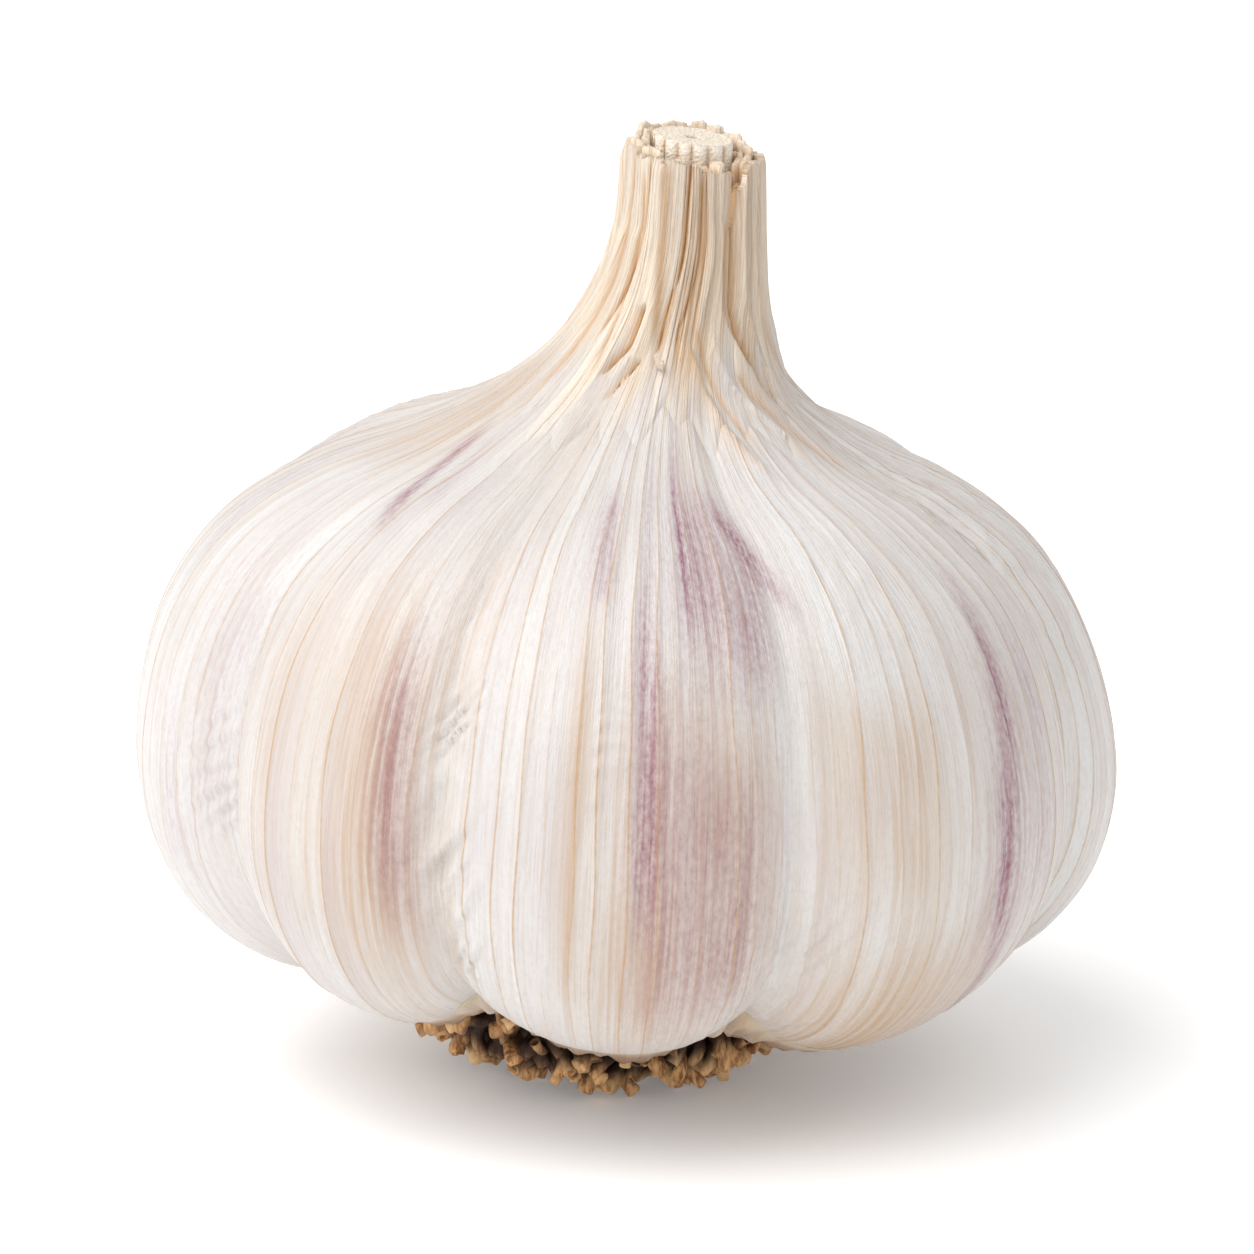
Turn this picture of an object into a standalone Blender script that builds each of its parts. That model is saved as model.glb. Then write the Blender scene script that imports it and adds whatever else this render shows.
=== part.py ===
"""A hardneck garlic bulb, standing on its trimmed roots.

Run it in Blender 4.5. Lengths are in metres and +Z is up. The origin is the middle of the flat spot that the
roots are trimmed to, and -Y is the front. Every piece is worked out standing straight, and settle() then gives
it the bulb's slight tilt and the bend of its neck, so neighbouring pieces keep their gaps.
"""

import math
import random

import bmesh
import bpy
import numpy as np

MM = 0.001
GAP = 0.3 * MM  # kept between neighbouring pieces
SEED = 7

# How the bulb stands.
TILT = math.radians(2.6)  # the body leans to +X
NECK_BEND = 2.15 * MM  # how far the neck is pushed to +X above the shoulder
BEND_FROM, BEND_TO = 40 * MM, 56 * MM  # heights between which the neck bends

# The meridian over the middle of a clove, from beside the roots to the cut neck, as (radius, height).
MERIDIAN = np.array([
    (9.0, 8.8), (12.5, 6.9), (17.0, 6.2), (22.2, 7.0), (26.9, 10.0), (30.0, 14.6), (31.2, 20.0), (30.7, 25.8),
    (28.8, 31.3), (25.5, 35.9), (20.2, 39.5), (13.9, 42.1), (8.8, 45.4), (6.0, 49.7), (4.7, 54.8), (4.35, 61.5),
]) * MM

# The cloves under the skin, going round from the front to +X: the azimuth of the clove's middle and of the
# crease after it in degrees, its size against the meridian, how far its foot is lifted, and how much its
# shoulder stands out, both in mm.
CLOVES = (
    (0, 21, 0.985, 1.2, 0.0),
    (44, 73, 1.000, -0.5, -0.3),
    (94, 115, 1.018, 0.3, -0.9),
    (137, 158, 0.970, 0.5, -0.4),
    (180, 203, 1.000, 0.3, 0.0),
    (226, 252, 0.985, 0.6, 0.3),
    (277, 302, 1.000, 0.2, 0.5),
    (319, 336, 0.975, 1.0, 0.2),
)
CREASE_DEPTH, CREASE_DEPTH_AT_ROOTS = 3.1 * MM, 1.4 * MM
CREASE_DEEPEST, CREASE_ENDS = 0.14, 0.92  # shares of the meridian
CREASE_POWER = 2.3  # 2 is a round valley, and more is a narrower one
FOOT_ENDS = 0.30  # share of the meridian up to which a clove's foot is lifted
SHOULDER, SHOULDER_WIDTH = 0.50, 0.13  # where on the meridian its shoulder is

# The neck: the bulb's own stump, then the dry sheaths and the stalk that stand in it.
STUMP_TOP, SOCKET_FLOOR = 52 * MM, 46 * MM
SOCKET_RADIUS = 3.8 * MM
SHEATH_SEAT = 1.0 * MM  # the skin is this much lower under the neck sheath
SEAT_STEP = 1.6 * MM  # height over which it gets there, below the sheath's hem
SHEATH_THICKNESS = 0.75 * MM
SHEATH_RIBS, RIB_HEIGHT = 30, 0.26 * MM
SHEATH_HEM, SHEATH_TOP, SHEATH_TEETH = 47.8 * MM, 60.5 * MM, 0.5 * MM
HEM_TIPS, HEM_SWAY = 1.0 * MM, 0.5 * MM
TONGUE_AZIMUTH, TONGUE_LENGTH, TONGUE_WIDTH = math.radians(48), 4.4 * MM, math.radians(20)
SPLIT_AZIMUTH, SPLIT_DEPTH, SPLIT_WIDTH = math.radians(62), 1.8 * MM, math.radians(9)
INNER_RADIUS, INNER_THICKNESS = 3.35 * MM, 0.6 * MM
INNER_TOP, INNER_TEETH = 61.1 * MM, 0.4 * MM
INNER_RIBS, INNER_RIB_HEIGHT = 22, 0.1 * MM
STALK_RADIUS, STALK_TOP, STALK_WORN = 2.4 * MM, 61.3 * MM, 0.3 * MM
STALK_FLUTES, FLUTE_DEPTH = 13, 0.12 * MM
PITH_RADIUS, PITH_DEPTH = 0.45 * MM, 0.5 * MM

# The foot: the root plate, its trimmed roots and the torn leaf bases round it.
PLATE = np.array([(7.6, 8.5), (9.0, 7.2), (10.2, 6.0), (9.8, 5.2), (7.0, 4.6), (3.9, 3.9), (3.6, -1.0)]) * MM
# Each ring's radius in mm, its number of roots and how far they lean outwards in degrees.
ROOT_RINGS = ((4.7, 12, 4), (6.3, 18, 8), (8.0, 24, 13), (9.4, 29, 22))
ROOT_LENGTH, ROOT_RADIUS = 4.6 * MM, 0.75 * MM
ROOT_SUNK = 1.6 * MM  # how deep a root starts inside the plate
ROOT_SWAY = 9  # degrees that a root may lean more or less than its ring
GROUND_SIDE, GROUND_DEPTH = 80 * MM, 20 * MM  # the block that trims the roots level
SCALE_THICKNESS = 0.6 * MM
SCALE_FROM, SCALE_TO = 0.008, 0.042  # shares of the meridian
SCALE_TEARS, SCALE_IN_CREASE = 0.007, 0.012  # how much further it reaches in a tip and in a crease

BULB_COLUMNS, BULB_ROWS_BELOW_HEM, BULB_ROWS_ABOVE = 96, 20, 3
SHEATH_COLUMNS, SHEATH_ROWS = 4 * SHEATH_RIBS, 7
PLATE_COLUMNS = 36
SHARP_ANGLE = math.radians(45)
WELD = 0.01 * MM


def smoothstep(x):
    x = np.clip(x, 0.0, 1.0)
    return x * x * (3 - 2 * x)


def catmull_rom(points, per_span):
    """Points along the smooth curve through the given ones."""
    ends = np.vstack([2 * points[0] - points[1], points, 2 * points[-1] - points[-2]])
    t = np.linspace(0, 1, per_span, endpoint=False)[:, None]
    spans = [
        0.5 * (2 * b + (c - a) * t + (2 * a - 5 * b + 4 * c - d) * t**2 + (3 * b - a - 3 * c + d) * t**3)
        for a, b, c, d in zip(ends, ends[1:], ends[2:], ends[3:])
    ]
    return np.vstack([*spans, points[-1:]])


CURVE = catmull_rom(MERIDIAN, 12)
CURVE_SHARES = np.insert(np.cumsum(np.linalg.norm(np.diff(CURVE, axis=0), axis=1)), 0, 0.0)
CURVE_SHARES /= CURVE_SHARES[-1]
SLOPE = np.gradient(CURVE, CURVE_SHARES, axis=0)


def share_at(height):
    """The share of the meridian at a height on the neck, where the height only rises."""
    neck = CURVE_SHARES > 0.5
    return np.interp(height, CURVE[neck, 1], CURVE_SHARES[neck])


def clove_shape(azimuth):
    """For each azimuth in radians: 0 over a clove's middle to 1 in a crease, then the clove's size, the lift of
    its foot and the rise of its shoulder, which meet its neighbour's half way at the crease."""
    degrees = np.degrees(azimuth) % 360
    crease = np.zeros_like(degrees)
    shape = np.zeros((*degrees.shape, 3))
    for i, (middle, after, *own) in enumerate(CLOVES):
        before = CLOVES[i - 1][1]
        turn = (degrees - middle + 180) % 360 - 180
        half = np.where(turn < 0, (middle - before) % 360, (after - middle) % 360)
        inside = np.abs(turn) <= half
        crease = np.where(inside, np.abs(turn) / half, crease)
        other = np.where(turn[..., None] < 0, CLOVES[i - 1][2:], CLOVES[(i + 1) % len(CLOVES)][2:])
        meet = 0.5 * smoothstep(np.abs(turn) / half)[..., None]
        shape = np.where(inside[..., None], own + (other - own) * meet, shape)
    return crease, shape[..., 0], shape[..., 1] * MM, shape[..., 2] * MM


def crease_depth(share):
    rising = CREASE_DEPTH_AT_ROOTS + (CREASE_DEPTH - CREASE_DEPTH_AT_ROOTS) * smoothstep(share / CREASE_DEEPEST)
    falling = 1 - smoothstep((share - CREASE_DEEPEST) / (CREASE_ENDS - CREASE_DEEPEST))
    return np.minimum(rising, CREASE_DEPTH * falling)


def skin(azimuth, share, out=0.0):
    """Points of the papery skin, standing straight, moved outwards by out."""
    azimuth, share, out = np.broadcast_arrays(azimuth, share, out)
    radius = np.interp(share, CURVE_SHARES, CURVE[:, 0])
    height = np.interp(share, CURVE_SHARES, CURVE[:, 1])
    along = np.stack([np.interp(share, CURVE_SHARES, SLOPE[:, i]) for i in (0, 1)])
    along /= np.linalg.norm(along, axis=0)
    crease, size, lift, shoulder = clove_shape(azimuth)
    radius = radius * (1 + (size - 1) * (1 - smoothstep((share - 0.5) / 0.25)))
    height = height + lift * (1 - smoothstep(share / FOOT_ENDS))
    out = out - crease_depth(share) * crease**CREASE_POWER
    out = out + shoulder * np.exp(-(((share - SHOULDER) / SHOULDER_WIDTH) ** 2))
    return round_the_axis(azimuth, radius + along[1] * out, height - along[0] * out)


def round_the_axis(azimuth, radius, height):
    """Points at that azimuth from the front, radius and height."""
    azimuth, radius, height = np.broadcast_arrays(azimuth, radius, height)
    return np.stack([radius * np.sin(azimuth), -radius * np.cos(azimuth), height], axis=-1)


def settle(points):
    """Bends the neck and tilts the straight bulb to where it stands."""
    x, y, z = np.moveaxis(np.asarray(points, float), -1, 0)
    bent = x + NECK_BEND * smoothstep((z - BEND_FROM) / (BEND_TO - BEND_FROM))
    return np.stack(
        [bent * math.cos(TILT) + z * math.sin(TILT), y, z * math.cos(TILT) - bent * math.sin(TILT)], axis=-1
    )


def azimuths(count):
    return np.arange(count) * math.tau / count


def bump(azimuth, middle, width):
    """1 at the middle azimuth, falling to 0 on both sides of it."""
    turn = (azimuth - middle + math.pi) % math.tau - math.pi
    return np.exp(-((turn / width) ** 2))


def material(name, colour, roughness):
    """A Principled material of one colour."""
    made = bpy.data.materials.new(name)
    made.use_nodes = True
    shader = made.node_tree.nodes["Principled BSDF"]
    shader.inputs["Base Color"].default_value = (*colour, 1)
    shader.inputs["Roughness"].default_value = roughness
    shader.inputs["Metallic"].default_value = 0
    return made


def collection(name):
    made = bpy.data.collections.new(name)
    bpy.context.scene.collection.children.link(made)
    return made


def loft(name, rings, finish, into, ring_shaped=False):
    """An object skinned over equal rings of points, one above the other. Its first and last ring are capped
    with a fan to their middle or, where it is ring_shaped, joined to each other."""
    rings = [settle(ring) for ring in rings]
    columns = len(rings[0])
    points = np.vstack(rings)
    faces = []
    for row in range(len(rings) if ring_shaped else len(rings) - 1):
        upper = (row + 1) % len(rings)
        for column in range(columns):
            beside = (column + 1) % columns
            corners = (row, column), (row, beside), (upper, beside), (upper, column)
            faces.append([r * columns + c for r, c in corners])
    if not ring_shaped:
        first, last = len(points), len(points) + 1
        points = np.vstack([points, rings[0].mean(axis=0), rings[-1].mean(axis=0)])
        top = (len(rings) - 1) * columns
        for column in range(columns):
            beside = (column + 1) % columns
            faces.append([first, beside, column])
            faces.append([last, top + column, top + beside])
    mesh = bpy.data.meshes.new(name)
    mesh.from_pydata(points.tolist(), [], faces)
    mesh.materials.append(finish)
    mesh.shade_smooth()
    mesh.set_sharp_from_angle(angle=SHARP_ANGLE)
    made = bpy.data.objects.new(name, mesh)
    into.objects.link(made)
    return made


def sheath_hem(azimuth):
    """The height of the neck sheath's torn lower edge, with the long tongue it has on one side."""
    tips = HEM_TIPS * np.sin(9 * azimuth + 1.7 * np.sin(4 * azimuth)) + HEM_SWAY * np.sin(2 * azimuth + 0.5)
    return SHEATH_HEM + tips - TONGUE_LENGTH * bump(azimuth, TONGUE_AZIMUTH, TONGUE_WIDTH)


def make_bulb(finish, into):
    """The cloves in their papery skin, with a hollow underside over the roots and a socket in the neck's stump.
    The skin steps in under the neck sheath, and its rows follow that step."""
    around = azimuths(BULB_COLUMNS)
    hem = sheath_hem(around)
    step = share_at(hem - SEAT_STEP)
    rings = [skin(around, step * row) for row in np.linspace(0, 1, BULB_ROWS_BELOW_HEM)]
    rings.append(skin(around, (step + share_at(hem)) / 2, -SHEATH_SEAT / 2))
    for row in np.linspace(0, 1, BULB_ROWS_ABOVE):
        rings.append(skin(around, share_at(hem + (STUMP_TOP - hem) * row), -SHEATH_SEAT))
    rings += [round_the_axis(around, SOCKET_RADIUS, z) for z in (STUMP_TOP, SOCKET_FLOOR)]
    return loft("bulb", rings, finish, into)


def ribs(azimuth, count):
    """Uneven ribs round a sheath, from -1 in a groove to 1 on a rib."""
    drift = 1.1 * np.sin(3 * azimuth + 0.6) + 0.5 * np.sin(7 * azimuth)
    strength = 0.8 + 0.2 * np.sin(5 * azimuth + 1.0)
    return strength * np.cos(count * azimuth + drift)


def ragged(azimuth, count):
    """A torn edge: a tooth on each rib and long and short stretches, from about -1 to 1."""
    return (
        0.45 * ribs(azimuth, count)
        + 0.3 * np.sin(4 * azimuth + 2.1)
        + 0.25 * np.sin(count / 2 * azimuth + 3 * np.sin(2 * azimuth))
    )


def make_neck_sheath(finish, into):
    """The dry outer leaf sheath: a ribbed tube round the neck that flares on to the shoulder in torn tips."""
    around = azimuths(SHEATH_COLUMNS)
    split = SPLIT_DEPTH * bump(around, SPLIT_AZIMUTH, SPLIT_WIDTH)
    top = SHEATH_TOP + SHEATH_TEETH * ragged(around, SHEATH_RIBS) - split
    hem = sheath_hem(around)
    seat = GAP - SHEATH_SEAT
    outside, inside = [], []
    for row in np.linspace(0, 1, SHEATH_ROWS):
        share = share_at(hem + (top - hem) * row)
        relief = RIB_HEIGHT * (0.35 + 0.65 * smoothstep(3 * row)) * ribs(around, SHEATH_RIBS)
        outside.append(skin(around, share, seat + SHEATH_THICKNESS + relief))
        inside.append(skin(around, share, seat))
    return loft("neck_sheath", outside + inside[::-1], finish, into, ring_shaped=True)


def make_inner_sheath(finish, into):
    """The inner leaf sheath: a thinner ribbed tube between the neck sheath and the stalk."""
    around = azimuths(3 * INNER_RIBS)
    top = INNER_TOP + INNER_TEETH * ragged(around, INNER_RIBS)
    floor = np.full_like(around, SOCKET_FLOOR + GAP)
    outer = INNER_RADIUS + INNER_RIB_HEIGHT * (ribs(around, INNER_RIBS) - 1)
    inner = INNER_RADIUS - INNER_THICKNESS
    rings = [round_the_axis(around, outer, z) for z in (floor, (floor + top) / 2, top)]
    rings += [round_the_axis(around, inner, z) for z in (top, floor)]
    return loft("inner_sheath", rings, finish, into, ring_shaped=True)


def make_stalk(finish, into):
    """The cut flower stalk: fluted sides, a level cut with a worn edge, and the pith's small hollow."""
    around = azimuths(4 * STALK_FLUTES)
    wall = STALK_RADIUS + FLUTE_DEPTH * (ribs(around, STALK_FLUTES) - 1)
    profile = ((1.0, SOCKET_FLOOR + GAP), (1.0, STALK_TOP - STALK_WORN), (0.9, STALK_TOP))
    rings = [round_the_axis(around, wall * share, z) for share, z in profile]
    hollow = ((1.0, STALK_TOP), (0.5, STALK_TOP - PITH_DEPTH))
    rings += [round_the_axis(around, PITH_RADIUS * share, z) for share, z in hollow]
    return loft("stalk", rings, finish, into)


def make_base_scales(finish, into):
    """The torn bases of the outer leaves: a thin ragged ring against the bulb's underside, round the roots."""
    around = azimuths(BULB_COLUMNS)
    tears = 0.5 * np.sin(11 * around + 2 * np.sin(3 * around)) + 0.5 * np.sin(29 * around)
    edge = SCALE_TO + SCALE_TEARS * tears + SCALE_IN_CREASE * clove_shape(around)[0]
    shares = [SCALE_FROM + (edge - SCALE_FROM) * row for row in (0, 0.5, 1)]
    above = [skin(around, share, GAP) for share in shares]
    below = [skin(around, share, GAP + SCALE_THICKNESS) for share in shares]
    return loft("base_scales", above[::-1] + below, finish, into, ring_shaped=True)


def root(name, foot, lean, azimuth, draw, finish, into):
    """One trimmed root: a short bent tube with a blunt end, starting inside the plate."""
    outward = np.array([math.sin(azimuth), -math.cos(azimuth), 0.0])
    sideways = np.array([math.cos(azimuth), math.sin(azimuth), 0.0]) * draw.uniform(-0.35, 0.35)
    length = ROOT_LENGTH * draw.uniform(0.8, 1.1)
    thickness = ROOT_RADIUS * draw.uniform(0.85, 1.15)
    curve = bpy.data.curves.new(name, "CURVE")
    curve.dimensions = "3D"
    curve.bevel_depth = thickness
    curve.bevel_resolution = 1
    curve.use_fill_caps = True
    spline = curve.splines.new("POLY")
    steps = ((-ROOT_SUNK, 0.9), (0.55 * length, 1.05), (length, 0.8))
    spline.points.add(len(steps) - 1)
    for point, (distance, swell) in zip(spline.points, steps):
        bend = lean * (0.75 + 0.35 * max(distance, 0) / length)
        heading = (outward + sideways) * math.sin(bend) - [0, 0, math.cos(bend)]
        place = foot + distance * heading
        point.co = (*settle(place), 1)
        point.radius = swell
    made = bpy.data.objects.new(name, curve)
    made.data.materials.append(finish)
    into.objects.link(made)
    return made


def as_mesh(obj, into):
    """Replaces a curve object with a mesh one whose caps are welded to its sides."""
    evaluated = obj.evaluated_get(bpy.context.evaluated_depsgraph_get())
    mesh = bpy.data.meshes.new_from_object(evaluated)
    edited = bmesh.new()
    edited.from_mesh(mesh)
    bmesh.ops.remove_doubles(edited, verts=edited.verts, dist=WELD)
    edited.to_mesh(mesh)
    edited.free()
    made = bpy.data.objects.new(obj.name, mesh)
    made.matrix_world = obj.matrix_world
    into.objects.link(made)
    bpy.data.objects.remove(obj)


def make_roots(finish, into):
    """The trimmed roots in rings under the plate, the outer ones leaning out more."""
    draw = random.Random(SEED)
    for ring, (radius, count, lean) in enumerate(ROOT_RINGS):
        radius *= MM
        under = np.interp(radius, PLATE[:1:-1, 0], PLATE[:1:-1, 1])
        for i in range(count):
            azimuth = math.tau * (i + 0.5 * (ring % 2) + draw.uniform(-0.25, 0.25)) / count
            foot = round_the_axis(azimuth, radius * draw.uniform(0.96, 1.03), under)
            angle = math.radians(lean + draw.uniform(-ROOT_SWAY, ROOT_SWAY))
            root(f"root_{ring}_{i}", foot, angle, azimuth, draw, finish, into)
    bpy.context.view_layer.update()
    for obj in list(into.objects):
        as_mesh(obj, into)


def join_all(body, others):
    """Fuses a collection's objects into the body, then removes them and the collection."""
    join = body.modifiers.new("join", "BOOLEAN")
    join.operation = "UNION"
    join.operand_type = "COLLECTION"
    join.collection = others
    bpy.context.view_layer.update()
    body.data = bpy.data.meshes.new_from_object(body.evaluated_get(bpy.context.evaluated_depsgraph_get()))
    body.modifiers.clear()
    for obj in list(others.objects):
        bpy.data.objects.remove(obj)
    bpy.data.collections.remove(others)


def trim_level(body, cutters):
    """Cuts the body level with the ground that it stands on."""
    size = (GROUND_SIDE, GROUND_SIDE, GROUND_DEPTH)
    bpy.ops.mesh.primitive_cube_add(size=1, location=(0, 0, -GROUND_DEPTH / 2), scale=size)
    ground = bpy.context.object
    ground.name = "ground_cutter"
    ground.hide_render = True
    ground.display_type = "WIRE"
    for linked in list(ground.users_collection):
        linked.objects.unlink(ground)
    cutters.objects.link(ground)
    trim = body.modifiers.new("trim level", "BOOLEAN")
    trim.operation = "DIFFERENCE"
    trim.object = ground


def make_root_crown(finish, into):
    """The root plate with its roots, joined in one body and trimmed level with what the bulb stands on."""
    around = azimuths(PLATE_COLUMNS)
    knobbly = 1 + 0.035 * np.sin(7 * around) + 0.03 * np.sin(12 * around + 1)
    rings = [round_the_axis(around, radius * knobbly, height) for radius, height in PLATE]
    crown = loft("root_crown", rings[::-1], finish, into)
    roots = collection("roots")
    make_roots(finish, roots)
    join_all(crown, roots)
    trim_level(crown, collection("cutters"))


def main():
    for obj in list(bpy.data.objects):
        bpy.data.objects.remove(obj)
    garlic = collection("garlic_bulb")
    paper = material("papery_skin", (0.86, 0.80, 0.76), 0.45)
    straw = material("dry_sheath", (0.78, 0.64, 0.46), 0.6)
    cream = material("inner_sheath", (0.84, 0.73, 0.56), 0.6)
    pith = material("stalk_pith", (0.88, 0.81, 0.68), 0.7)
    tan = material("leaf_base", (0.66, 0.50, 0.32), 0.6)
    brown = material("dry_root", (0.42, 0.27, 0.15), 0.75)
    make_bulb(paper, garlic)
    make_neck_sheath(straw, garlic)
    make_inner_sheath(cream, garlic)
    make_stalk(pith, garlic)
    make_base_scales(tan, garlic)
    make_root_crown(brown, garlic)


main()
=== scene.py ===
"""The looks of a whole garlic bulb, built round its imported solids.

Lengths are in metres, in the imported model's own frame: +Z is up and -Y is the front. Every surface is
worked out standing straight, from the same meridian and cloves as the solids, and settle() then gives it
the bulb's tilt and the bend of its neck. An azimuth is counted from the front towards +X. A share is a
place along the meridian, from 0 beside the roots to 1 at the cut neck.
"""

import math

import bpy
import numpy as np
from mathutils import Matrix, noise


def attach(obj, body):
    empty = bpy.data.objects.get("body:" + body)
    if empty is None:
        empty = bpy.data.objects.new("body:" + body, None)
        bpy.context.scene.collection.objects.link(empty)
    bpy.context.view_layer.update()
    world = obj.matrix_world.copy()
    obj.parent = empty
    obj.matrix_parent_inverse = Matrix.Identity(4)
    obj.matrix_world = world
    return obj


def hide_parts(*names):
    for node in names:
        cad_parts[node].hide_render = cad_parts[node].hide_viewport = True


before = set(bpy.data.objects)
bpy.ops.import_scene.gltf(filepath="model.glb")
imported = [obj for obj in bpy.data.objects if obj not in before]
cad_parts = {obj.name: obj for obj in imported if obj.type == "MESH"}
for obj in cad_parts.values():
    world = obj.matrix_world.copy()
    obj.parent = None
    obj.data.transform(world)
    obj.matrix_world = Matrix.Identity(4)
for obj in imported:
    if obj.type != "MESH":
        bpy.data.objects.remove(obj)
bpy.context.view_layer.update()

MM = 0.001
draw = np.random.default_rng(5)

# ---- the camera

ELEVATION = math.radians(15.5)
LENS, DISTANCE = 250, 0.555
TARGET = np.array([0.001, 0, 0.0289])

STUDIO_LIGHT = 1.4  # how much brighter the light is than one that shows each colour as it is

# ---- the bulb's form, as in its solids

TILT = math.radians(2.6)
NECK_BEND = 2.4 * MM  # 0.25 mm more than in the solids
BEND_FROM, BEND_TO = 40 * MM, 56 * MM
MERIDIAN = np.array([
    (9.0, 8.8), (12.5, 6.9), (17.0, 6.2), (22.2, 7.0), (26.9, 10.0), (30.0, 14.6), (31.2, 20.0),
    (30.7, 25.8), (28.8, 31.3), (25.5, 35.9), (20.2, 39.5), (13.9, 42.1), (8.8, 45.4), (6.0, 49.7),
    (4.7, 54.8), (4.35, 61.5),
]) * MM
# Each clove's middle, the crease after it (degrees), its size, its foot's lift and its shoulder's rise (mm).
CLOVES = (
    (0, 21, 0.985, 1.2, 0.0),
    (44, 73, 1.000, -0.5, -0.3),
    (94, 115, 1.018, 0.3, -0.9),
    (137, 158, 0.970, 0.5, -0.4),
    (180, 203, 1.000, 0.3, 0.0),
    (226, 252, 0.985, 0.6, 0.3),
    (277, 302, 1.000, 0.2, 0.5),
    (319, 336, 0.975, 1.0, 0.2),
)
CREASE_DEPTH, CREASE_DEPTH_AT_ROOTS = 3.1 * MM, 1.4 * MM
CREASE_DEEPEST, CREASE_ENDS = 0.14, 0.92
CREASE_POWER = 2.3
FOOT_ENDS = 0.30
SHOULDER, SHOULDER_WIDTH = 0.50, 0.13
BELLY = 31 * MM  # the radius at which distances round the bulb are counted
UPPER = 0.6  # the share above which a leaf belongs to the shoulder and the neck
SHARP_EDGE = math.radians(48)  # where a leaf is cut, faces that meet at more than this keep a sharp edge

# ---- the papery skin

VEIN_SPACING = (2.3, 4.9)  # degrees
VEIN_HALF_WIDTH = math.radians(0.19)
SKIN_TOP = 52 * MM
# Shares of the meridian, and the distance (mm) between rows of points up to each: closest where it crumples.
ROW_SPACING = ((0.18, 1.1), (0.58, 0.33), (1.0, 0.9))
# Purple streaks: azimuth (deg) and share at the upper end and at the lower end, half width (deg), strength.
PURPLE = (
    (-60, 0.75, -49, 0.63, 2.1, 1.0), (-54, 0.77, -44, 0.66, 2.2, 0.22),
    (-6.5, 0.71, -5.5, 0.59, 2.0, 0.6), (1.5, 0.78, 1.0, 0.54, 1.0, 0.45),
    (7.8, 0.77, 7.6, 0.57, 1.1, 0.75), (13, 0.72, 12, 0.54, 5.0, 0.4),
    (15.5, 0.71, 24, 0.59, 2.0, 0.6), (20, 0.68, 16, 0.52, 2.4, 0.45),
    (10, 0.71, 11, 0.48, 9.0, 0.22), (1.5, 0.57, 2.2, 0.35, 1.6, 0.8),
    # The streak at 13 degrees on the next line is partly painted shade on the right side of the front clove,
    # over a stain.
    (5, 0.5, 5.5, 0.24, 4.5, 0.48), (13, 0.46, 13, 0.26, 4.5, 0.56),
    (-31, 0.54, -28.5, 0.32, 2.8, 0.66), (-62, 0.56, -62, 0.34, 6.0, 0.22),
    (54, 0.59, 49, 0.35, 1.3, 0.95), (48.5, 0.42, 54, 0.16, 1.5, 0.75),
    (51, 0.5, 48, 0.3, 3.4, 0.35), (60, 0.52, 57, 0.34, 0.9, 0.4),
    (66, 0.46, 66, 0.24, 1.1, 0.28), (57, 0.56, 57, 0.3, 6.0, 0.2),
    (-84, 0.68, -80, 0.52, 2.5, 0.3), (-71, 0.42, -69, 0.29, 1.6, 0.3),
    (92, 0.6, 87, 0.34, 1.6, 0.35), (118, 0.66, 122, 0.5, 2.2, 0.45),
    (134, 0.58, 131, 0.34, 1.4, 0.6), (150, 0.74, 156, 0.58, 2.4, 0.45),
    (171, 0.66, 168, 0.46, 1.5, 0.6), (182, 0.72, 188, 0.52, 3.6, 0.35),
    (196, 0.5, 199, 0.28, 1.4, 0.5), (214, 0.7, 209, 0.52, 1.9, 0.5),
    (229, 0.55, 233, 0.3, 1.5, 0.6), (246, 0.66, 251, 0.44, 2.2, 0.35),
)
# Tan patches: azimuth and share of the middle, half width (deg), half length, strength; less than 0 is paler.
TAN = (
    (33, 0.43, 8, 0.085, 0.55),
    (-46, 0.43, 10, 0.14, 0.3),
    (-35, 0.42, 4.5, 0.17, 0.52),
    (-29, 0.4, 3.5, 0.13, 0.42),
    (2, 0.38, 6, 0.15, 0.5),
    (3, 0.26, 7, 0.1, 0.25),
    (-6.5, 0.42, 1.2, 0.17, 0.7),
    # partly painted shade on the right side of the front clove, over a grey-lilac stain.
    (13, 0.38, 5, 0.12, 0.52),
    (37, 0.19, 12, 0.13, 0.78),
    (12, 0.9, 15, 0.08, 0.6),
    (-73, 0.75, 13, 0.08, 0.6),
    (-25, 0.56, 4, 0.08, 0.2),
    # painted highlight: this paler patch lightens the right shoulder.
    (40, 0.64, 16, 0.1, -0.35),
    (100, 0.4, 8, 0.12, 0.35),
    (146, 0.45, 9, 0.1, 0.45),
    (178, 0.34, 7, 0.1, 0.4),
    (205, 0.62, 8, 0.09, 0.35),
    (236, 0.42, 7, 0.12, 0.4),
)
# Crumpled places: azimuth, share, half width (deg), half length, direction of the folds (deg from level,
# rising towards +X), distance between folds and height of the folds (mm).
CRUMPLES = (
    (-23.5, 0.42, 3.2, 0.15, 55, 1.8, 0.62),
    (-21, 0.3, 3.2, 0.1, 60, 1.7, 0.65),
    (-61, 0.39, 5, 0.08, 40, 1.6, 0.42),
    (77, 0.64, 15, 0.12, -55, 3.2, 0.34),
    (36, 0.61, 6, 0.06, 50, 2.4, 0.26),
    (-3, 0.45, 3.5, 0.06, 50, 1.5, 0.2),
    (14, 0.34, 4, 0.12, 62, 1.7, 0.24),
    (24, 0.27, 6, 0.1, 55, 1.9, 0.34),
    (114, 0.42, 5, 0.13, -45, 1.7, 0.5),
    (158, 0.38, 4.5, 0.12, 45, 1.7, 0.5),
    (170, 0.66, 14, 0.08, 50, 3.2, 0.28),
    (203, 0.44, 5, 0.14, -45, 1.7, 0.55),
    (251, 0.4, 5, 0.12, 40, 1.8, 0.48),
    (232, 0.64, 12, 0.1, -50, 3.2, 0.28),
)

# ---- the neck

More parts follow.
